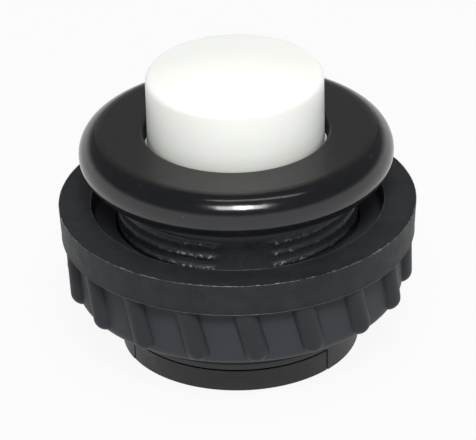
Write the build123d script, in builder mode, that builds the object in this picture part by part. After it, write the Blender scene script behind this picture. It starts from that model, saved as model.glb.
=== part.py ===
from build123d import *
import os
from math import cos, radians, sin, sqrt

# Doorbell pushbutton switch for a round panel hole, in millimetres.
# The origin is the middle of the barrel's lower end. +Z points out of the button, and -Y is the front.

os.makedirs("parts", exist_ok=True)

# Barrel
thread_radius = 12.5
thread_depth = 0.6
plain_end_radius = 12.4
plain_end_height = 3.2
collar_length = 1.75
bore_radius = 10.7
carrier_step = 0.3
notch_angle = 109.5
notch_middle_angle = -98.75
notch_height = 2.5

# Head
head_base = 19.35
head_top = 23.9
head_radius = 16.18
head_upper_round = 2.35
head_lower_round = 2.5
head_wall = 2.0
opening_edge = 0.35

# Button
button_radius = 9.1
button_clearance = 0.4
button_rise = 6.3
button_crown = 1.7
button_edge = 1.1
button_wall = 1.6
button_travel = 2.2
flange_radius = 10.35
flange_thickness = 1.5
stop_clearance = 0.05
stem_radius = 2.2
stem_tip_radius = 1.3
stem_tip_over = 0.4
rib_thickness = 1.0
rib_depth = 3.0
rib_count = 4
key_width = 2.0
key_height = 0.65
key_clearance = 0.2

# Contacts
strip_thickness = 0.8
arm_width = 4.0
tab_width = 6.0
tab_inside = 2.0
tab_shoulder = 1.2
arm_tip = 3.9
riser_outside = 9.2
contact_spacing = 5.2
contact_radius = 1.25
contact_thickness = 0.5
bridge_length = 13.6
bridge_width = 3.6
bridge_thickness = 0.6
clip_radius = 2.8
clip_thickness = 0.6

# Return spring
wire_radius = 0.2
wire_sides = 6
spring_radius = 2.25
spring_turns = 4.5

# Contact carrier
fit_clearance = 0.05
slot_clearance = 0.1
carrier_height = 15.6
well_depth = 8.0
well_radius = 9.5
web_thickness = 2.5
partition_thickness = 2.4
wing_height = 2.3
wing_end_angle = 0.6
pocket_radius = 2.9
pocket_depth = 1.5

# Terminals
terminal_offset = 5.25
screw_radius = 1.5
screw_head_radius = 2.75
screw_head_height = 1.7
screw_reach = 1.8
screw_slot_width = 0.8
screw_slot_depth = 0.8
screw_edge = 0.35
washer_size = 5.8
washer_thickness = 0.8
washer_corner = 0.7

# Ring nut
nut_top = 15.8
nut_clearance = 0.15
nut_radius = 18.5
nut_face_draft = 0.2
nut_flange_height = 3.4
nut_recess_radius = 15.2
nut_recess_depth = 2.0
skirt_radius = 17.1
skirt_height = 6.2
skirt_round = 1.5
foot_height = 0.7
foot_radius = 15.9
hub_radius = 13.6
hub_height = 1.7
grip_count = 18
grip_radius = 1.3
grip_axis_radius = 16.76
grip_slant = 14.0
grip_foot_height = 7.55
grip_foot_angle = -84.8
grip_overrun = 0.7

# Heights and radii that follow from those sizes
thread_root_radius = thread_radius - thread_depth
carrier_bore_radius = bore_radius + carrier_step
opening_radius = button_radius + button_clearance
head_ceiling = head_top - head_wall
key_reach = flange_radius + key_height
web_top = well_depth + web_thickness
arm_top = web_top + strip_thickness
contact_top = arm_top + contact_thickness
bridge_tip_base = contact_top + button_travel
bridge_base = bridge_tip_base + contact_thickness
bridge_top = bridge_base + bridge_thickness
clip_base = bridge_base - clip_thickness
tab_base = well_depth - strip_thickness
washer_base = tab_base - washer_thickness
screw_head_base = washer_base - screw_head_height
flange_top = head_ceiling - stop_clearance
flange_base = flange_top - flange_thickness
button_shoulder = head_top + button_rise


def pie_slice(radius, middle_angle, span):
    """A sector of a disc about the origin, for the barrel's notches and the wings that fill them."""
    with BuildSketch() as sector:
        with BuildLine():
            rim = CenterArc((0, 0), radius, middle_angle - span / 2, span)
            Line((0, 0), rim @ 0)
            Line((0, 0), rim @ 1)
        make_face()
    return sector.sketch


def closed_circles(part):
    """The full circular edges of a turned part, from the lowest to the highest."""
    return part.edges().filter_by(GeomType.CIRCLE).filter_by(lambda edge: edge.is_closed).sort_by(Axis.Z)


# Housing: head, threaded barrel and plain end in one moulding, with two open notches for the wings
widest_height = head_top - head_upper_round
lower_drop = widest_height - head_base
seat_radius = head_radius - head_lower_round + sqrt(head_lower_round**2 - lower_drop**2)
collar_base = head_base - collar_length
notch_slice = pie_slice(2 * thread_radius, notch_middle_angle, notch_angle)

with BuildPart() as housing:
    with BuildSketch(Plane.XZ):
        with BuildLine():
            Polyline(
                (head_radius - head_upper_round, head_top),
                (opening_radius, head_top),
                (opening_radius, head_ceiling),
                (bore_radius, head_ceiling),
                (bore_radius, carrier_height),
                (carrier_bore_radius, carrier_height),
                (carrier_bore_radius, 0),
                (plain_end_radius, 0),
                (plain_end_radius, plain_end_height),
                (thread_root_radius, plain_end_height),
                (thread_root_radius, collar_base),
                (thread_radius, collar_base),
                (thread_radius, head_base),
                (seat_radius, head_base),
            )
            TangentArc((head_radius, widest_height), (seat_radius, head_base), tangent=(0, -1))
            TangentArc((head_radius, widest_height), (head_radius - head_upper_round, head_top), tangent=(0, 1))
        make_face()
    revolve(axis=Axis.Z)
    opening_rim = closed_circles(housing).group_by(Axis.Z)[-1].sort_by(SortBy.RADIUS)[0]
    fillet(opening_rim, opening_edge)
    with BuildSketch(Plane.XY.offset(carrier_height)):
        Rectangle(2 * (key_reach + key_clearance), key_width + 2 * key_clearance)
    extrude(amount=head_ceiling - carrier_height, mode=Mode.SUBTRACT)
    with BuildSketch():
        with PolarLocations(0, 2):
            add(notch_slice)
    extrude(amount=notch_height, mode=Mode.SUBTRACT)

# Push button: a hollow domed cap with a keyed flange, and a ribbed stem that carries the bridge
cavity_radius = button_radius - button_wall
cavity_crown = button_crown * (cavity_radius / button_radius) ** 2
cavity_roof = button_shoulder + button_crown - button_wall
cavity_shoulder = cavity_roof - cavity_crown
key_root = cavity_radius + button_wall / 2

with BuildPart() as push_button:
    with BuildSketch(Plane.XZ):
        with BuildLine():
            Polyline(
                (0, button_shoulder + button_crown),
                (0, flange_base),
                (flange_radius, flange_base),
                (flange_radius, flange_top),
                (button_radius, flange_top),
                (button_radius, button_shoulder),
            )
            TangentArc((0, button_shoulder + button_crown), (button_radius, button_shoulder), tangent=(1, 0))
        make_face()
    revolve(axis=Axis.Z)
    fillet(closed_circles(push_button)[-1], button_edge)
    with BuildSketch(Plane.XZ):
        with BuildLine():
            Polyline(
                (0, cavity_roof),
                (0, flange_base),
                (cavity_radius, flange_base),
                (cavity_radius, cavity_shoulder),
            )
            TangentArc((0, cavity_roof), (cavity_radius, cavity_shoulder), tangent=(1, 0))
        make_face()
    revolve(axis=Axis.Z, mode=Mode.SUBTRACT)
    with BuildSketch(Plane.XY.offset(cavity_roof - rib_depth)):
        with PolarLocations(key_root / 2, rib_count, start_angle=180 / rib_count):
            Rectangle(key_root, rib_thickness)
    extrude(amount=rib_depth)
    with BuildSketch(Plane.XY.offset(flange_base)):
        with PolarLocations((key_root + key_reach) / 2, 2):
            Rectangle(key_reach - key_root, key_width)
    extrude(amount=flange_thickness)
    with BuildSketch(Plane.XY.offset(bridge_top)):
        Circle(stem_radius)
    extrude(amount=cavity_roof - bridge_top)
    with BuildSketch(Plane.XY.offset(clip_base - stem_tip_over)):
        Circle(stem_tip_radius)
    extrude(amount=bridge_top - clip_base + stem_tip_over)

# Contact bridge: a brass strip on the stem's tip, with a silver contact under each end
with BuildPart() as contact_bridge:
    with BuildSketch(Plane.XY.offset(bridge_base)):
        SlotOverall(bridge_length, bridge_width)
        Circle(stem_tip_radius + fit_clearance, mode=Mode.SUBTRACT)
    extrude(amount=bridge_thickness)

with BuildPart() as bridge_contacts:
    with BuildSketch(Plane.XY.offset(bridge_tip_base)):
        with PolarLocations(contact_spacing, 2):
            Circle(contact_radius)
    extrude(amount=contact_thickness)

# Stem clip: the push-on washer that holds the bridge and takes the spring's thrust
with BuildPart() as stem_clip:
    with BuildSketch(Plane.XY.offset(clip_base)):
        Circle(clip_radius)
        Circle(stem_tip_radius, mode=Mode.SUBTRACT)
    extrude(amount=clip_thickness)

# Return spring: a round wire coil between the carrier's pocket and the stem clip
pocket_floor = web_top - pocket_depth
coil_height = clip_base - pocket_floor - 2 * wire_radius

with BuildPart() as return_spring:
    with BuildLine(Plane.XY.offset(pocket_floor + wire_radius)) as coil:
        Helix(pitch=coil_height / spring_turns, height=coil_height, radius=spring_radius)
    with BuildSketch(Plane(origin=coil.line @ 0, z_dir=coil.line % 0)):
        RegularPolygon(wire_radius, wire_sides)
    sweep(path=coil.line, is_frenet=True)

# Contact carrier: the insert that closes the barrel, with two terminal wells and a wing in each notch
wing_slice = pie_slice(plain_end_radius - fit_clearance, notch_middle_angle, notch_angle - 2 * wing_end_angle)

with BuildPart() as contact_carrier:
    with BuildSketch():
        Circle(carrier_bore_radius - fit_clearance)
    extrude(amount=carrier_height)
    with BuildSketch():
        with PolarLocations(0, 2):
            add(wing_slice)
    extrude(amount=wing_height)
    with BuildSketch():
        Circle(well_radius)
        Rectangle(partition_thickness, 2 * well_radius, mode=Mode.SUBTRACT)
    extrude(amount=well_depth, mode=Mode.SUBTRACT)
    with BuildSketch(Plane.XY.offset(web_top)):
        Circle(well_radius)
    extrude(amount=carrier_height - web_top, mode=Mode.SUBTRACT)
    with BuildSketch(Plane.XY.offset(pocket_floor)):
        Circle(pocket_radius)
    extrude(amount=pocket_depth, mode=Mode.SUBTRACT)
    with BuildSketch(Plane.XY.offset(well_depth)):
        with PolarLocations(riser_outside - strip_thickness / 2, 2):
            Rectangle(strip_thickness + 2 * slot_clearance, arm_width + 2 * slot_clearance)
    extrude(amount=web_thickness, mode=Mode.SUBTRACT)
    with BuildSketch(Plane.XY.offset(well_depth)):
        with PolarLocations(terminal_offset, 2):
            Circle(screw_radius)
    extrude(amount=screw_reach, mode=Mode.SUBTRACT)

# Fixed contacts: a brass strip from the tab in the well, up through the web, to the arm above it
with BuildPart() as fixed_contact_right:
    with BuildSketch(Plane.XZ):
        with Locations((riser_outside, tab_base)):
            Rectangle(riser_outside - tab_inside, strip_thickness, align=(Align.MAX, Align.MIN))
            Rectangle(strip_thickness, arm_top - tab_base, align=(Align.MAX, Align.MIN))
        with Locations((riser_outside, web_top)):
            Rectangle(riser_outside - arm_tip, strip_thickness, align=(Align.MAX, Align.MIN))
    extrude(amount=arm_width / 2, both=True)
    with BuildSketch(Plane.XY.offset(tab_base)):
        with Locations((tab_inside, 0)):
            Rectangle(
                riser_outside - tab_shoulder - tab_inside,
                tab_width,
                align=(Align.MIN, Align.CENTER),
            )
    extrude(amount=strip_thickness)
    with BuildSketch(Plane.XY.offset(tab_base)):
        with Locations((terminal_offset, 0)):
            Circle(screw_radius + fit_clearance)
    extrude(amount=strip_thickness, mode=Mode.SUBTRACT)

with BuildPart() as fixed_contact_left:
    add(mirror(fixed_contact_right.part, about=Plane.YZ, mode=Mode.PRIVATE))

with BuildPart() as fixed_contact_tips:
    with BuildSketch(Plane.XY.offset(arm_top)):
        with PolarLocations(contact_spacing, 2):
            Circle(contact_radius)
    extrude(amount=contact_thickness)

# Terminals: a slotted screw through a square clamp washer and the contact's tab, in each well
with BuildPart() as clamp_washers:
    with BuildSketch(Plane.XY.offset(washer_base)):
        with PolarLocations(terminal_offset, 2):
            Rectangle(washer_size, washer_size)
            Circle(screw_radius + fit_clearance, mode=Mode.SUBTRACT)
    extrude(amount=washer_thickness)
    chamfer(clamp_washers.edges().filter_by(Axis.Z).filter_by(GeomType.LINE), washer_corner)

with BuildPart() as terminal_screws:
    with BuildSketch(Plane.XY.offset(screw_head_base)):
        with PolarLocations(terminal_offset, 2):
            Circle(screw_head_radius)
    extrude(amount=screw_head_height)
    chamfer(closed_circles(terminal_screws).group_by(Axis.Z)[0], screw_edge)
    with BuildSketch(Plane.XY.offset(washer_base)):
        with PolarLocations(terminal_offset, 2):
            Circle(screw_radius)
    extrude(amount=washer_thickness + strip_thickness + screw_reach)
    with BuildSketch(Plane.XY.offset(screw_head_base)):
        with PolarLocations(terminal_offset, 2):
            Rectangle(screw_slot_width, 3 * screw_head_radius)
    extrude(amount=screw_slot_depth, mode=Mode.SUBTRACT)

# Ring nut: a skirt with slanted round-ended grips, and the flange that clamps the panel on top
nut_bore_radius = thread_radius + nut_clearance
nut_flange_base = nut_top - nut_flange_height
skirt_base = nut_flange_base - skirt_height
foot_base = skirt_base - foot_height
hub_base = foot_base - hub_height
grip_length = (nut_flange_base + grip_overrun - grip_foot_height) / cos(radians(grip_slant))
grip_plane = Plane(
    origin=(grip_axis_radius, 0, grip_foot_height),
    x_dir=(1, 0, 0),
    z_dir=(0, -sin(radians(grip_slant)), cos(radians(grip_slant))),
)

with BuildPart(grip_plane) as grip:
    Cylinder(grip_radius, grip_length, align=(Align.CENTER, Align.CENTER, Align.MIN))
    Sphere(grip_radius)

with BuildPart() as ring_nut:
    with BuildSketch(Plane.XZ):
        with BuildLine():
            Polyline(
                (skirt_radius, skirt_base),
                (skirt_radius, nut_flange_base),
                (nut_bore_radius, nut_flange_base),
                (nut_bore_radius, hub_base),
                (hub_radius, hub_base),
                (hub_radius, foot_base),
                (foot_radius, foot_base),
                close=True,
            )
        make_face()
    revolve(axis=Axis.Z)
    fillet(closed_circles(ring_nut).filter_by_position(Axis.Z, skirt_base, skirt_base), skirt_round)
    with PolarLocations(0, grip_count, start_angle=grip_foot_angle):
        add(grip.part)
    with BuildSketch(Plane.XZ):
        with BuildLine():
            Polyline(
                (nut_bore_radius, nut_flange_base),
                (nut_radius - nut_face_draft, nut_flange_base),
                (nut_radius, nut_top),
                (nut_recess_radius, nut_top),
                (nut_recess_radius, nut_top - nut_recess_depth),
                (nut_bore_radius, nut_top - nut_recess_depth),
                close=True,
            )
        make_face()
    revolve(axis=Axis.Z)

# Each finished piece, labelled and written
pieces = {
    "housing": housing,
    "push_button": push_button,
    "contact_bridge": contact_bridge,
    "bridge_contacts": bridge_contacts,
    "stem_clip": stem_clip,
    "return_spring": return_spring,
    "contact_carrier": contact_carrier,
    "fixed_contact_right": fixed_contact_right,
    "fixed_contact_left": fixed_contact_left,
    "fixed_contact_tips": fixed_contact_tips,
    "clamp_washers": clamp_washers,
    "terminal_screws": terminal_screws,
    "ring_nut": ring_nut,
}
for name, piece in pieces.items():
    piece.part.label = name
    export_step(piece.part, f"parts/{name}.step")
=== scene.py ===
import math
import random
from collections import namedtuple

import bmesh
import bpy
from mathutils import Matrix, Vector


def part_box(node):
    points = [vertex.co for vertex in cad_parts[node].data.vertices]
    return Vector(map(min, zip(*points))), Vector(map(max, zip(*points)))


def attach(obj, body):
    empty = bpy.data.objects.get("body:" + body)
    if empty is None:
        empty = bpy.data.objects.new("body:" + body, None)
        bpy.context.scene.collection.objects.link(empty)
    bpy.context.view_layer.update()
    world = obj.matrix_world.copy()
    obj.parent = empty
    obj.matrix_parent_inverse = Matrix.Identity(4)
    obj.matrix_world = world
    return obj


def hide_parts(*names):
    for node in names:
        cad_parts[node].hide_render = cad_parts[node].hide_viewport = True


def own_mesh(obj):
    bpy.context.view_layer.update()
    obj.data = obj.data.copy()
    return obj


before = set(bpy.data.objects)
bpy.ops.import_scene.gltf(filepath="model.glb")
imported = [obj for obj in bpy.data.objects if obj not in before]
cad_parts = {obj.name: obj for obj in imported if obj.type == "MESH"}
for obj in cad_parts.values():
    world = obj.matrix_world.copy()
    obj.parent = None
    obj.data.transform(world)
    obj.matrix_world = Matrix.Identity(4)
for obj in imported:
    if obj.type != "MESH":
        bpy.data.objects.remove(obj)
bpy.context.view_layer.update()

# Lengths are in millimetres, and MM turns them into metres
MM = 0.001

# Camera, fitted to the photograph: the target is on the barrel's axis, level with the nut's top face
IMAGE_WIDTH, IMAGE_HEIGHT = 476, 440
TARGET = Vector((0, 0, 15.8)) * MM
TARGET_PIXEL = (237.4, 197.5)
ELEVATION = 28.45
ROLL = 1.41
DISTANCE = 350 * MM
FOCAL_PIXELS = 3384.5

# Barrel thread: its foot is just inside the CAD's root, and the front crest is at this height
THREAD_FOOT_RADIUS = 11.85
VALLEY_RADIUS = 12.28
CREST_RADIUS = 12.5
PITCH = 1.25
THREAD_START = 3.45
THREAD_END = 17.45
FRONT_CREST = 15.6
THREAD_STEPS = 180
RUN_IN_STEPS = 12

# Half of the ridge's profile, from its top down: the way along the axis, and the share of its height
RIDGE = ((0.08, 0.97), (0.16, 0.82), (0.24, 0.5), (0.34, 0.12), (0.42, 0.0))

# Where the valley's outer points are, which keep it flat between two ridges
VALLEY_EDGE = 0.615

# Plain strips of the barrel, at the front and the back: their angle, half their width and the width of
# the ragged run beside them, in degrees, and how much of the ridge is lost there and elsewhere
STRIP_ANGLE = -87.2
STRIP_HALF_WIDTH = 13.2
STRIP_RAGGED_WIDTH = 15
STRIP_LOSS = 0.45
THREAD_LOSS = 0.05

# The mould's parting line, in the middle of each strip
SEAM_START = 3.3
SEAM_END = 17.55
SEAM_STEP = 0.25
SEAM_HALF_WIDTH = 0.04
SEAM_RISE = 0.07
SEAM_SINK = 0.1

# Return spring with closed ends. The closed pitch is in wire radii.
SPRING_RADIUS = 2.25
SPRING_WIRE_RADIUS = 0.2
SPRING_TURNS = 4.5
SPRING_CLOSED_TURNS = 0.6
SPRING_CLOSED_PITCH = 2.1
SPRING_STEPS_PER_TURN = 60
SPRING_SIDES = 12

# Nut's edges: the flange's top and lower edge, and the edge of the recess in its top. The burr's and the
# beads' middles are inset from them.
NUT_TOP = 15.8
NUT_TOP_RADIUS = 18.5
NUT_FLANGE_BASE = 12.4
NUT_FLANGE_BASE_RADIUS = 18.3
NUT_RECESS_RADIUS = 15.2
BURR_INSET = 0.03
BEAD_INSET = 0.01
BEAD_SIDES = 6
WANDER_STEPS = 8

# Floor, in metres, and the share of plain white that the camera sees on it
FLOOR_RADIUS = 4
FLOOR_DROP = 0.0002
FLOOR_GLOW = 0.92

# A part of a look that differs: it is between two radii and two heights, and has its own colour, range of
# roughness and share of that colour
Zone = namedtuple("Zone", "inner outer low high colour gloss share", defaults=(None, 1.0))

# How far a zone's outer, inner and end borders are blurred
RIM_BLUR = 0.05
BORE_BLUR = 0.15
END_BLUR = 0.03

# Barrel with the head's underside (lightened: painted fill light in the head's shade), the barrel's plain
# end, the head's top, and the well round the button
HOUSING_ZONES = (
    # Painted fill light: lighter than the housing's own black, in the shade under the head
    Zone(0, 15.9, 3.25, 19.36, (0.042, 0.046, 0.054), (0.6, 0.72)),
    Zone(0, 12.7, -1, 3.25, (0.006, 0.0064, 0.0074), (0.5, 0.62)),
    Zone(0, 40, 23.82, 25, (0.0045, 0.0046, 0.0048), (0.3, 0.42)),
    Zone(0, 9.9, 19.4, 23.82, (0.0045, 0.0048, 0.0055), (0.7, 0.8)),
)

# Nut's recess and the recess's wall (both lightened: painted fill light in their shade), the skirt, and
# the grips that stand out of it
NUT_ZONES = (
    # Painted fill light: lighter in the recess, and lighter still on its wall
    Zone(0, 15.0, 12, 15.77, (0.05, 0.053, 0.06), (0.6, 0.7)),
    Zone(15.0, 15.25, 12, 15.77, (0.08, 0.084, 0.09), (0.6, 0.7)),
    Zone(0, 17.2, 5.4, 12.38, (0.036, 0.0395, 0.046), (0.48, 0.6), 0.92),
    Zone(17.22, 19, 0, 12.35, (0.026, 0.029, 0.033), (0.44, 0.56), 0.75),
)

# Crests of the thread, which carry painted glints, and how far to each side of the middle the glints fade
PAINTED_GLINT_ZONE = Zone(12.36, 12.7, 3.3, 17.5, (0.56, 0.58, 0.62))
PAINTED_GLINT_FADE = (5.2 * MM, 7.5 * MM)

# Heights between which the tint at the foot of the button's side fades
BUTTON_FOOT = (24.1 * MM, 25.4 * MM)


class Look:
    """A node material in the making: a Principled shader, with textures in the object's coordinates."""

    def __init__(self, name, **constants):
        self.material = bpy.data.materials.new(name)
        self.material.use_nodes = True
        self.tree = self.material.node_tree
        self.shader = self.tree.nodes["Principled BSDF"]
        self.place = self.tree.nodes.new("ShaderNodeTexCoord").outputs["Object"]
        for socket, value in constants.items():
            self.shader.inputs[socket.replace("_", " ")].default_value = value

    def add(self, kind, links=(), **settings):
        """A node with its settings, and with its sockets linked to others or given a value."""
        node = self.tree.nodes.new(kind)
        for key, value in settings.items():
            setattr(node, key, value)
        for socket, source in dict(links).items():
            if isinstance(source, bpy.types.NodeSocket):
                self.tree.links.new(source, node.inputs[socket])
            else:
                node.inputs[socket].default_value = source
        return node

    def wear(self, socket, source):
        """Link source to a socket of the shader."""
        self.tree.links.new(source, self.shader.inputs[socket])

    def noise(self, scale, detail=2.0, roughness=0.5, stretch=(1, 1, 1)):
        """Noise in the object's coordinates; scale is in features per millimetre, near enough."""
        scales = [scale / MM * s for s in stretch]
        place = self.add("ShaderNodeMapping", {"Vector": self.place, "Scale": scales}).outputs[0]
        texture = self.add(
            "ShaderNodeTexNoise",
            {"Vector": place, "Scale": 1.0, "Detail": detail, "Roughness": roughness},
        )
        return texture.outputs["Fac"]

    def ranged(self, source, low, high, to_low, to_high):
        """source from low to high, spread from to_low to to_high."""
        node = self.add(
            "ShaderNodeMapRange",
            {"Value": source, "From Min": low, "From Max": high, "To Min": to_low, "To Max": to_high},
        )
        return node.outputs["Result"]

    def ramp(self, source, *stops):
        """A colour ramp over source; each stop is a place and a colour."""
        node = self.add("ShaderNodeValToRGB", {"Fac": source})
        for element, (position, colour) in zip(node.color_ramp.elements, stops):
            element.position = position
            element.color = (*colour, 1)
        return node.outputs["Color"]

    def maths(self, operation, a, b=0.0):
        """The result of a Math node on a and b."""
        return self.add("ShaderNodeMath", {0: a, 1: b}, operation=operation).outputs[0]

    def between(self, a, b, share):
        """A value between a, where share is 0, and b, where it is 1."""
        rest = self.maths("MULTIPLY", a, 1 - share)
        return self.maths("ADD", rest, self.maths("MULTIPLY", b, share))

    def mixed(self, share, a, b):
        """Colour a where share is 0, and b where it is 1."""
        return self.add("ShaderNodeMix", {0: share, 6: a, 7: (*b, 1)}, data_type="RGBA").outputs[2]

    def axis(self, name):
        """How far along X, Y or Z of the object, in metres."""
        return self.add("ShaderNodeSeparateXYZ", {0: self.place}).outputs[name]

    def mask(self, zone):
        """1 in the zone, and 0 elsewhere."""
        flat = self.add("ShaderNodeMapping", {"Vector": self.place, "Scale": (1, 1, 0)}).outputs[0]
        reach = self.add("ShaderNodeVectorMath", {0: flat}, operation="LENGTH").outputs["Value"]
        mask = self.ranged(reach, (zone.outer - RIM_BLUR) * MM, (zone.outer + RIM_BLUR) * MM, 1.0, 0.0)
        if zone.inner > 0:
            outside = self.ranged(reach, zone.inner * MM, (zone.inner + BORE_BLUR) * MM, 0.0, 1.0)
            mask = self.maths("MULTIPLY", mask, outside)
        height = self.axis("Z")
        below = self.ranged(height, (zone.high - END_BLUR) * MM, (zone.high + END_BLUR) * MM, 1.0, 0.0)
        above = self.ranged(height, (zone.low - END_BLUR) * MM, (zone.low + END_BLUR) * MM, 0.0, 1.0)
        return self.maths("MULTIPLY", mask, self.maths("MULTIPLY", below, above))

    def rounded(self, radius):
        """Normals with the edges rounded to that radius, in metres."""
        return self.add("ShaderNodeBevel", {"Radius": radius}, samples=6).outputs["Normal"]

    def bump(self, height, distance, normal):
        """Normals with a relief of that depth, in metres, over the normals given."""
        links = {"Height": height, "Distance": distance, "Normal": normal}
        return self.add("ShaderNodeBump", links).outputs["Normal"]


def black_plastic(name, dark, light, gloss, grain, edge, specular=0.5, zones=(), flecks=None):
    """Moulded black plastic, mottled from dark to light, with dust, grain and rounded edges.

    gloss is its range of roughness. grain is the depth of its grain and edge the radius of its edges, in
    metres. zones are the parts that differ, and flecks is the zone that gets painted glints.
    """
    look = Look(name, Specular_IOR_Level=specular)
    clouds = look.noise(0.35, detail=4, roughness=0.6)
    fine = look.noise(5.5, detail=3, roughness=0.6)
    uneven = look.noise(0.8, detail=3, roughness=0.6)
    colour = look.ramp(look.between(clouds, fine, 0.5), (0.38, dark), (0.64, light))

    cells = look.add("ShaderNodeTexVoronoi", {"Vector": look.place, "Scale": 1.05 / MM})
    specks = look.ranged(cells.outputs["Distance"], 0.13, 0.06, 0.0, 1.0)
    patches = look.ranged(look.noise(0.5), 0.5, 0.66, 0.0, 0.35)
    colour = look.mixed(look.maths("MULTIPLY", specks, patches), colour, (0.1, 0.1, 0.1))

    rough = look.ranged(uneven, 0.3, 0.7, *gloss)
    for zone in zones:
        mask = look.mask(zone)
        colour = look.mixed(look.maths("MULTIPLY", mask, zone.share), colour, zone.colour)
        change = look.maths("SUBTRACT", look.ranged(fine, 0.3, 0.7, *zone.gloss), rough)
        rough = look.maths("ADD", rough, look.maths("MULTIPLY", mask, change))

    # Painted glints: light spots on the thread's crests, full near the front and back and fading further
    # aside
    if flecks:
        glints = look.ranged(look.noise(1.7, roughness=0.6), 0.53, 0.62, 0.0, 1.0)
        aside = look.maths("ABSOLUTE", look.axis("X"))
        glints = look.maths("MULTIPLY", glints, look.ranged(aside, *PAINTED_GLINT_FADE, 1.0, 0.16))
        colour = look.mixed(look.maths("MULTIPLY", look.mask(flecks), glints), colour, flecks.colour)

    # The grain is weaker where the surface is glossy
    grained = look.maths("MULTIPLY", fine, look.ranged(rough, 0.2, 0.42, 0.12, 1.0))
    swell = look.bump(uneven, 0.008 * MM, look.rounded(edge))
    look.wear("Base Color", colour)
    look.wear("Roughness", rough)
    look.wear("Normal", look.bump(grained, grain, swell))
    return look.material


def white_plastic(name):
    """The button's glossy white moulding: a slightly uneven white, duller at the foot of its side."""
    look = Look(name, Specular_IOR_Level=0.5, Subsurface_Weight=0.12, Subsurface_Scale=1.2 * MM)
    clouds = look.noise(0.12, detail=4, roughness=0.6)
    colour = look.ramp(clouds, (0.0, (0.83, 0.845, 0.8)), (1.0, (0.88, 0.89, 0.855)))
    foot = look.ranged(look.axis("Z"), *BUTTON_FOOT, 0.3, 0.0)
    look.wear("Base Color", look.mixed(foot, colour, (0.62, 0.62, 0.55)))
    look.wear("Roughness", look.ranged(look.noise(0.2, detail=1), 0.0, 1.0, 0.27, 0.31))
    look.wear("Normal", look.bump(look.noise(5), 0.0004 * MM, look.rounded(0.1 * MM)))
    return look.material


def metal(name, dark, light, gloss, brush):
    """Stamped or turned metal with stains, and fine lines along the axis where brush is smallest."""
    look = Look(name, Metallic=1.0)
    lines = look.noise(4.0, detail=3, roughness=0.65, stretch=brush)
    stains = look.noise(0.7, detail=4, roughness=0.6)
    look.wear("Base Color", look.ramp(look.between(lines, stains, 0.55), (0.34, dark), (0.62, light)))
    look.wear("Roughness", look.ranged(lines, 0.3, 0.7, *gloss))
    look.wear("Normal", look.bump(lines, 0.008 * MM, look.rounded(0.05 * MM)))
    return look.material


housing_look = black_plastic(
    "housing_black_plastic",
    dark=(0.0032, 0.0036, 0.0048),
    light=(0.0058, 0.0062, 0.0078),
    gloss=(0.12, 0.18),
    grain=0.01 * MM,
    edge=0.1 * MM,
    specular=0.62,
    zones=HOUSING_ZONES,
)
# Painted fill light: the thread is far lighter than the housing's black, for the shade under the head; its
# crests get painted glints
thread_look = black_plastic(
    "thread_black_plastic",
    dark=(0.036, 0.039, 0.045),
    light=(0.052, 0.055, 0.062),
    gloss=(0.24, 0.36),
    grain=0.1 * MM,
    edge=0.03 * MM,
    specular=0.36,
    flecks=PAINTED_GLINT_ZONE,
)
carrier_look = black_plastic(
    "carrier_black_plastic",
    dark=(0.0065, 0.007, 0.008),
    light=(0.011, 0.0115, 0.0125),
    gloss=(0.4, 0.54),
    grain=0.012 * MM,
    edge=0.08 * MM,
    specular=0.42,
)
nut_look = black_plastic(
    "nut_black_plastic",
    dark=(0.0125, 0.014, 0.016),
    light=(0.0235, 0.0258, 0.029),
    gloss=(0.46, 0.58),
    grain=0.02 * MM,
    edge=0.11 * MM,
    specular=0.17,
    zones=NUT_ZONES,
)
button_look = white_plastic("button_white_plastic")
brass_look = metal("brass", (0.48, 0.31, 0.12), (0.78, 0.58, 0.26), (0.24, 0.4), (1, 0.08, 1))
silver_look = metal("contact_silver", (0.62, 0.6, 0.57), (0.86, 0.85, 0.83), (0.2, 0.36), (1, 1, 1))
steel_look = metal("spring_steel", (0.28, 0.28, 0.29), (0.52, 0.52, 0.53), (0.22, 0.38), (1, 1, 0.2))
nickel_look = metal("nickel_plate", (0.42, 0.4, 0.37), (0.72, 0.7, 0.66), (0.2, 0.36), (0.15, 1, 1))

looks = {
    "housing": housing_look,
    "push_button": button_look,
    "contact_bridge": brass_look,
    "bridge_contacts": silver_look,
    "stem_clip": steel_look,
    "return_spring": steel_look,
    "contact_carrier": carrier_look,
    "fixed_contact_right": brass_look,
    "fixed_contact_left": brass_look,
    "fixed_contact_tips": silver_look,
    "clamp_washers": nickel_look,
    "terminal_screws": nickel_look,
    "ring_nut": nut_look,
}
for name, material in looks.items():
    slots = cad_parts[name].data.materials
    slots.clear()
    slots.append(material)


def on_circle(radius, angle, height):
    """A point round the object's axis."""
    return Vector((radius * math.cos(angle), radius * math.sin(angle), height))


def skin(bm, rings, closed=False):
    """Faces between rings of points that follow each other; an open row is capped at both ends."""
    rings = [[bm.verts.new(point * MM) for point in ring] for ring in rings]
    following = rings[1:] + rings[:1] if closed else rings[1:]
    count = len(rings[0])
    for a, b in zip(rings, following):
        for i in range(count):
            j = (i + 1) % count
            bm.faces.new((a[i], b[i], b[j], a[j]))
    if not closed:
        bm.faces.new(rings[0])
        bm.faces.new(list(reversed(rings[-1])))


def new_piece(name, bm, material, body):
    """A piece of the object from a finished bmesh, smooth shaded, on its CAD body."""
    bmesh.ops.recalc_face_normals(bm, faces=bm.faces)
    mesh = bpy.data.meshes.new(name)
    bm.to_mesh(mesh)
    bm.free()
    mesh.materials.append(material)
    mesh.polygons.foreach_set("use_smooth", [True] * len(mesh.polygons))
    piece = bpy.data.objects.new(name, mesh)
    bpy.context.scene.collection.objects.link(piece)
    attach(piece, body)
    return piece


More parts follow.
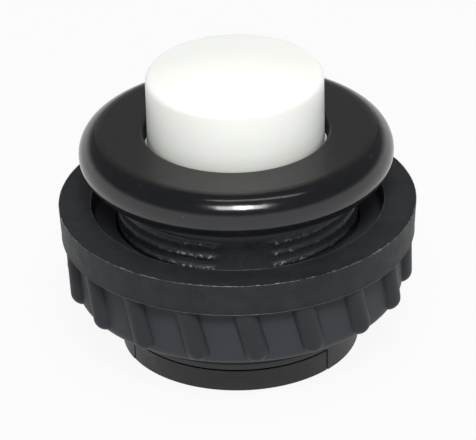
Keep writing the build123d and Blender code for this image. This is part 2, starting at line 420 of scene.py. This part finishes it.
def thread_section(share):
    """One pitch of the thread's outline, with the ridge at a share of its height.

    Each point has its place along the axis and its radius.
    """
    depth = (CREST_RADIUS - VALLEY_RADIUS) * share
    half = [(PITCH / 2, THREAD_FOOT_RADIUS), (PITCH / 2, VALLEY_RADIUS), (VALLEY_EDGE, VALLEY_RADIUS)]
    half += [(along, VALLEY_RADIUS + out * depth) for along, out in reversed(RIDGE)]
    other_half = [(-along, radius) for along, radius in half]
    return other_half + [(0, VALLEY_RADIUS + depth)] + half[::-1]


def make_thread():
    """The barrel's moulded thread: a helix whose ridge sinks into the plain strips at front and back."""
    rnd = random.Random(3)
    first = math.ceil((THREAD_START - FRONT_CREST) / PITCH * THREAD_STEPS)
    last = math.floor((THREAD_END - FRONT_CREST) / PITCH * THREAD_STEPS)
    rings = []
    for step in range(first, last + 1):
        turn = step / THREAD_STEPS
        degrees = 360 * turn - 90
        from_strip = abs((degrees - STRIP_ANGLE + 90) % 180 - 90)
        share = max(0, min(1, (from_strip - STRIP_HALF_WIDTH) / 2 + 0.5))
        share *= min(1, (step - first) / RUN_IN_STEPS, (last - step) / RUN_IN_STEPS)
        loss = STRIP_LOSS if from_strip < STRIP_HALF_WIDTH + STRIP_RAGGED_WIDTH else THREAD_LOSS
        share *= 1 - loss * rnd.random()
        angle = math.radians(degrees)
        middle = FRONT_CREST + PITCH * turn
        section = thread_section(share)
        rings.append([on_circle(radius, angle, middle + along) for along, radius in section])
    bm = bmesh.new()
    skin(bm, rings)
    new_piece("barrel_thread", bm, thread_look, "base")


def make_seams():
    """The thin raised line that the mould's parting leaves down the middle of each plain strip."""
    bm = bmesh.new()
    rnd = random.Random(5)
    for half_turn in (0, 180):
        angle = math.radians(STRIP_ANGLE + half_turn)
        outward = on_circle(1, angle, 0)
        aside = Vector((-math.sin(angle), math.cos(angle), 0))
        rings = []
        height = SEAM_START
        while height < SEAM_END:
            half_width = SEAM_HALF_WIDTH + rnd.uniform(0, 0.03)
            rise = SEAM_RISE + rnd.uniform(-0.03, 0.06)
            left = ((-1, -SEAM_SINK), (-0.9, rise * 0.8))
            right = ((0.9, rise * 0.8), (1, -SEAM_SINK))
            ring = []
            for side, out in (*left, (0, rise), *right):
                point = outward * (VALLEY_RADIUS + out) + aside * side * half_width
                ring.append(point + Vector((0, 0, height)))
            rings.append(ring)
            height += SEAM_STEP
        skin(bm, rings)
    new_piece("barrel_mould_seams", bm, housing_look, "base")


def bead_sizes(rnd, steps, base, drift, fleck_size, fleck_count):
    """Radii along a bead: a slow wander, and short flecks where it swells."""
    flecks = [0.0] * steps
    for _ in range(fleck_count):
        middle = rnd.randrange(steps)
        size = rnd.choice((0.3, 0.45, 0.6, 1.0))
        spread = rnd.randint(1, 4)
        for offset in range(-spread, spread + 1):
            place = (middle + offset) % steps
            flecks[place] = max(flecks[place], size * (1 - abs(offset) / (spread + 1)))
    wander = [rnd.uniform(-1, 1) for _ in range(steps // WANDER_STEPS)]
    sizes = []
    for step in range(steps):
        spot = step / WANDER_STEPS
        low = int(spot)
        blend = spot - low
        slow = wander[low] * (1 - blend) + wander[(low + 1) % len(wander)] * blend
        sizes.append(base + drift * slow + fleck_size * flecks[step])
    return sizes


def make_bead(name, material, radius, height, sizes, most):
    """A fine closed bead on a circular edge of the nut, with radii from sizes. It reaches out by most."""
    rings = []
    for step, size in enumerate(sizes):
        angle = 2 * math.pi * step / len(sizes)
        ring = []
        for corner in range(BEAD_SIDES):
            turn = 2 * math.pi * corner / BEAD_SIDES
            reach = radius + min(size * math.cos(turn), most)
            ring.append(on_circle(reach, angle, height + size * math.sin(turn)))
        rings.append(ring)
    bm = bmesh.new()
    skin(bm, rings, closed=True)
    new_piece(name, bm, material, "nut")


def make_nut_edges():
    """A ragged burr on the nut's top edge and beads on two other edges, coloured lighter than the nut:
    painted glints on the burr and painted highlight lines on the beads.
    """
    # Painted glints: the burr is much lighter than the nut
    burr_glint_look = black_plastic(
        "nut_burr_painted_glint",
        dark=(0.05, 0.05, 0.052),
        light=(0.2, 0.2, 0.2),
        gloss=(0.24, 0.36),
        grain=0.012 * MM,
        edge=0.02 * MM,
    )
    # Painted highlight: the beads are lighter than the nut, for bright lines along the flange's lower edge
    # and the recess's edge
    bead_highlight_look = black_plastic(
        "nut_bead_painted_highlight",
        dark=(0.02, 0.021, 0.023),
        light=(0.06, 0.062, 0.065),
        gloss=(0.34, 0.46),
        grain=0.006 * MM,
        edge=0.02 * MM,
    )
    rnd = random.Random(11)
    top = bead_sizes(rnd, steps=1440, base=0.03, drift=0.022, fleck_size=0.085, fleck_count=190)
    lower = bead_sizes(rnd, steps=720, base=0.04, drift=0.008, fleck_size=0.02, fleck_count=20)
    inner = bead_sizes(rnd, steps=720, base=0.035, drift=0.01, fleck_size=0.02, fleck_count=20)
    upper_height = NUT_TOP - BEAD_INSET
    lower_height = NUT_FLANGE_BASE + BEAD_INSET
    lower_radius = NUT_FLANGE_BASE_RADIUS - BEAD_INSET
    recess_radius = NUT_RECESS_RADIUS + BEAD_INSET
    make_bead("nut_edge_burr_painted_glint", burr_glint_look, NUT_TOP_RADIUS - BURR_INSET, upper_height, top, most=0.02)
    make_bead("nut_flange_bead", bead_highlight_look, lower_radius, lower_height, lower, most=0.06)
    make_bead("nut_recess_bead", bead_highlight_look, recess_radius, upper_height, inner, most=0.06)


def make_spring():
    """The return spring with closed ends, in place of the CAD's coil and as tall as it."""
    low, high = (Vector(corner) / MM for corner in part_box("return_spring"))
    span = high.z - low.z
    climb = span - 2 * SPRING_WIRE_RADIUS
    closed_rise = SPRING_CLOSED_PITCH * SPRING_WIRE_RADIUS * SPRING_CLOSED_TURNS
    turns = (0, SPRING_CLOSED_TURNS, SPRING_TURNS - SPRING_CLOSED_TURNS, SPRING_TURNS)
    heights = (0, closed_rise, climb - closed_rise, climb)
    upward = Vector((0, 0, 1))
    steps = round(SPRING_TURNS * SPRING_STEPS_PER_TURN)
    rings = []
    for step in range(steps + 1):
        turn = SPRING_TURNS * step / steps
        part = 0 if turn < turns[1] else 1 if turn < turns[2] else 2
        share = (turn - turns[part]) / (turns[part + 1] - turns[part])
        height = heights[part] + share * (heights[part + 1] - heights[part])
        outward = on_circle(1, 2 * math.pi * turn, 0)
        middle = outward * SPRING_RADIUS + upward * (low.z + SPRING_WIRE_RADIUS + height)
        ring = []
        for corner in range(SPRING_SIDES):
            around = 2 * math.pi * corner / SPRING_SIDES
            aside = outward * math.cos(around) + upward * math.sin(around)
            ring.append(middle + aside * SPRING_WIRE_RADIUS)
        rings.append(ring)
    bm = bmesh.new()
    skin(bm, rings)
    spring = new_piece("coil_spring", bm, steel_look, "base")
    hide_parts("return_spring")
    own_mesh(spring)


def make_floor():
    """A white floor: the object's shadow stays on it, and from below it is clear."""
    bm = bmesh.new()
    bmesh.ops.create_circle(bm, cap_ends=True, segments=96, radius=FLOOR_RADIUS)
    mesh = bpy.data.meshes.new("floor")
    bm.to_mesh(mesh)
    bm.free()
    floor = bpy.data.objects.new("floor", mesh)
    floor.location.z = -FLOOR_DROP
    bpy.context.scene.collection.objects.link(floor)
    material = bpy.data.materials.new("floor_white")
    material.use_nodes = True
    mesh.materials.append(material)
    tree = material.node_tree
    tree.nodes.clear()

    def maths(operation, a, b):
        node = tree.nodes.new("ShaderNodeMath")
        node.operation = operation
        tree.links.new(a, node.inputs[0])
        if isinstance(b, bpy.types.NodeSocket):
            tree.links.new(b, node.inputs[1])
        else:
            node.inputs[1].default_value = b
        return node.outputs[0]

    def shader(kind, colour):
        node = tree.nodes.new(kind)
        node.inputs["Color"].default_value = (*colour, 1)
        return node.outputs[0]

    def mixed(share, a, b):
        node = tree.nodes.new("ShaderNodeMixShader")
        for socket, source in enumerate((share, a, b)):
            tree.links.new(source, node.inputs[socket])
        return node.outputs[0]

    rays = tree.nodes.new("ShaderNodeLightPath").outputs
    behind = tree.nodes.new("ShaderNodeNewGeometry").outputs["Backfacing"]
    seen = maths("MAXIMUM", rays["Is Camera Ray"], rays["Is Glossy Ray"])
    seen = maths("MAXIMUM", seen, rays["Is Transmission Ray"])
    matt = shader("ShaderNodeBsdfDiffuse", (0.55, 0.55, 0.55))
    glow = shader("ShaderNodeEmission", (1, 1, 1))
    glow.node.inputs["Strength"].default_value = 1.0
    clear = shader("ShaderNodeBsdfTransparent", (1, 1, 1))
    lit = mixed(maths("MULTIPLY", seen, FLOOR_GLOW), matt, glow)
    final = mixed(maths("MAXIMUM", behind, rays["Is Shadow Ray"]), lit, clear)
    output = tree.nodes.new("ShaderNodeOutputMaterial")
    tree.links.new(final, output.inputs["Surface"])


def make_world():
    """White round the horizon and below it, and a dim grey overhead."""
    world = bpy.data.worlds.new("studio")
    bpy.context.scene.world = world
    world.use_nodes = True
    tree = world.node_tree
    background = tree.nodes["Background"]
    place = tree.nodes.new("ShaderNodeTexCoord")
    split = tree.nodes.new("ShaderNodeSeparateXYZ")
    ramp = tree.nodes.new("ShaderNodeValToRGB")
    tree.links.new(place.outputs["Generated"], split.inputs[0])
    tree.links.new(split.outputs["Z"], ramp.inputs[0])
    tree.links.new(ramp.outputs["Color"], background.inputs["Color"])
    horizon, overhead = ramp.color_ramp.elements
    horizon.position = 0.1
    horizon.color = (1, 1, 1, 1)
    overhead.position = 0.34
    overhead.color = (0.165, 0.165, 0.172, 1)
    background.inputs["Strength"].default_value = 1.0


def make_lamp(name, azimuth, elevation, size, level, colour=(1, 1, 1), glossy=True, distance=0.7):
    """A rectangular soft lamp that points at the object, with its size and distance in metres.

    azimuth 0 is the camera's side and 90 its right. level is what a white card facing the lamp would show.
    """
    light = bpy.data.lights.new(name, "AREA")
    light.shape = "RECTANGLE"
    light.size, light.size_y = size
    light.color = colour
    light.energy = level * math.pi**2 * distance**2
    lamp = bpy.data.objects.new(name, light)
    bpy.context.scene.collection.objects.link(lamp)
    a, e = math.radians(azimuth), math.radians(elevation)
    away = Vector((math.sin(a) * math.cos(e), -math.cos(a) * math.cos(e), math.sin(e)))
    lamp.location = TARGET + away * distance
    lamp.rotation_mode = "QUATERNION"
    lamp.rotation_quaternion = away.to_track_quat("Z", "Y")
    lamp.visible_camera = False
    lamp.visible_glossy = glossy


def make_camera():
    """The photograph's camera, which looks down by ELEVATION and shows TARGET at TARGET_PIXEL."""
    e, roll = math.radians(ELEVATION), math.radians(ROLL)
    forward = Vector((0, math.cos(e), -math.sin(e)))
    level = Vector((1, 0, 0))
    up = Vector((0, math.sin(e), math.cos(e)))
    right = math.cos(roll) * level - math.sin(roll) * up
    above = math.sin(roll) * level + math.cos(roll) * up
    aside = TARGET_PIXEL[0] - IMAGE_WIDTH / 2
    raised = IMAGE_HEIGHT / 2 - TARGET_PIXEL[1]
    aim = (forward * FOCAL_PIXELS - right * aside - above * raised).normalized()
    right = (right - aim * right.dot(aim)).normalized()
    above = right.cross(aim)
    data = bpy.data.cameras.new("camera")
    camera = bpy.data.objects.new("camera", data)
    bpy.context.scene.collection.objects.link(camera)
    axes = Matrix((right, above, -aim)).transposed()
    camera.matrix_world = Matrix.Translation(TARGET - forward * DISTANCE) @ axes.to_4x4()
    data.sensor_width = 36
    data.lens = FOCAL_PIXELS * data.sensor_width / IMAGE_WIDTH
    data.clip_start = 0.01
    data.clip_end = 50
    bpy.context.scene.camera = camera


make_thread()
make_seams()
make_nut_edges()
make_spring()
make_floor()
make_world()
make_camera()
make_lamp("key", 2, 52, (0.36, 0.2), 0.52)
make_lamp("core", 5, 53, (0.1, 0.2), 0.42)
make_lamp("top", 0, 88, (0.5, 0.5), 0.17, (1, 0.97, 0.94), glossy=False)
make_lamp("streak", 90, 83, (0.06, 0.43), 0.07, (1, 0.93, 0.88))
make_lamp("fill_left", -78, 28, (0.5, 0.4), 0.05, (0.9, 0.98, 1), glossy=False)
make_lamp("fill_right", 78, 28, (0.5, 0.4), 0.07, (0.9, 0.98, 1), glossy=False)
make_lamp("under", 0, -90, (0.6, 0.6), 0.16, glossy=False, distance=0.5)

bpy.context.scene.view_settings.view_transform = "Standard"
